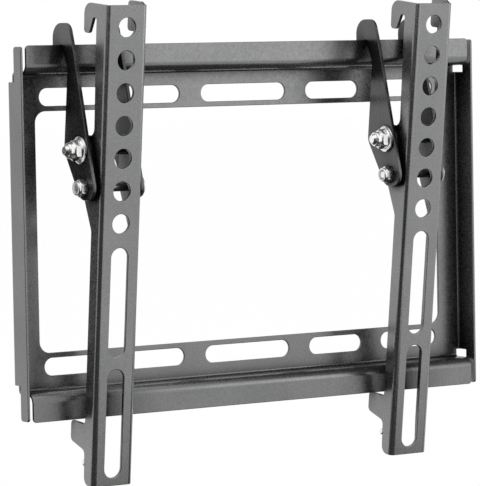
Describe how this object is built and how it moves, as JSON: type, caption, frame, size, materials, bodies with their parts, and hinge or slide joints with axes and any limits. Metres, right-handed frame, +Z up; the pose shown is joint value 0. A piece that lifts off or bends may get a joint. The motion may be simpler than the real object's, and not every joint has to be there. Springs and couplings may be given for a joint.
{
  "type": "tv wall mount",
  "caption": "Tilting wall mount: a folded steel frame with slotted rails and lips, and slotted arms that hook on the top lip and tilt between hook plates.",
  "frame": {"origin": "centre of the wall plate's back, on the wall", "axes": "+Y into the wall, so the mount's front faces -Y; +Z up; +X along the rails, to the right seen from the front"},
  "size_m": [0.288, 0.0564, 0.249],
  "materials": {
    "coated_steel": "satin fine-textured powder coat, anthracite",
    "zinc_steel": "bright zinc plate",
    "nylon": "moulded nylon"
  },
  "bodies": {
    "wall_plate": {"wall_plate": "coated_steel"},
    "left_hooks": {"left_hook_plate_nut_side": "coated_steel", "left_hook_plate_head_side": "coated_steel"},
    "left_arm": {"left_arm": "coated_steel", "left_friction_plate": "coated_steel", "left_tilt_bolt": "zinc_steel", "left_tilt_nut": "zinc_steel", "left_pivot_bolt": "zinc_steel", "left_pivot_nut": "zinc_steel", "left_pivot_nut_insert": "nylon", "left_foot_pin": "zinc_steel"},
    "right_hooks": {"right_hook_plate_nut_side": "coated_steel", "right_hook_plate_head_side": "coated_steel"},
    "right_arm": {"right_arm": "coated_steel", "right_friction_plate": "coated_steel", "right_tilt_bolt": "zinc_steel", "right_tilt_nut": "zinc_steel", "right_pivot_bolt": "zinc_steel", "right_pivot_nut": "zinc_steel", "right_pivot_nut_insert": "nylon", "right_foot_pin": "zinc_steel"}
  },
  "joints": [
    {"name": "left_hooks_slide", "type": "slide", "parent": "wall_plate", "child": "left_hooks", "axis": [1, 0, 0], "range_m": [-0.018, 0.06]},
    {"name": "left_arm_tilt", "type": "hinge", "parent": "left_hooks", "child": "left_arm", "pos_m": [-0.1035, -0.0344, 0.0236], "axis": [-1, 0, 0], "range_deg": [-1.2, 5.8]},
    {"name": "right_hooks_slide", "type": "slide", "parent": "wall_plate", "child": "right_hooks", "axis": [1, 0, 0], "range_m": [-0.06, 0.033]},
    {"name": "right_arm_tilt", "type": "hinge", "parent": "right_hooks", "child": "right_arm", "pos_m": [0.0878, -0.0344, 0.0236], "axis": [-1, 0, 0], "range_deg": [0, 7]}
  ]
}
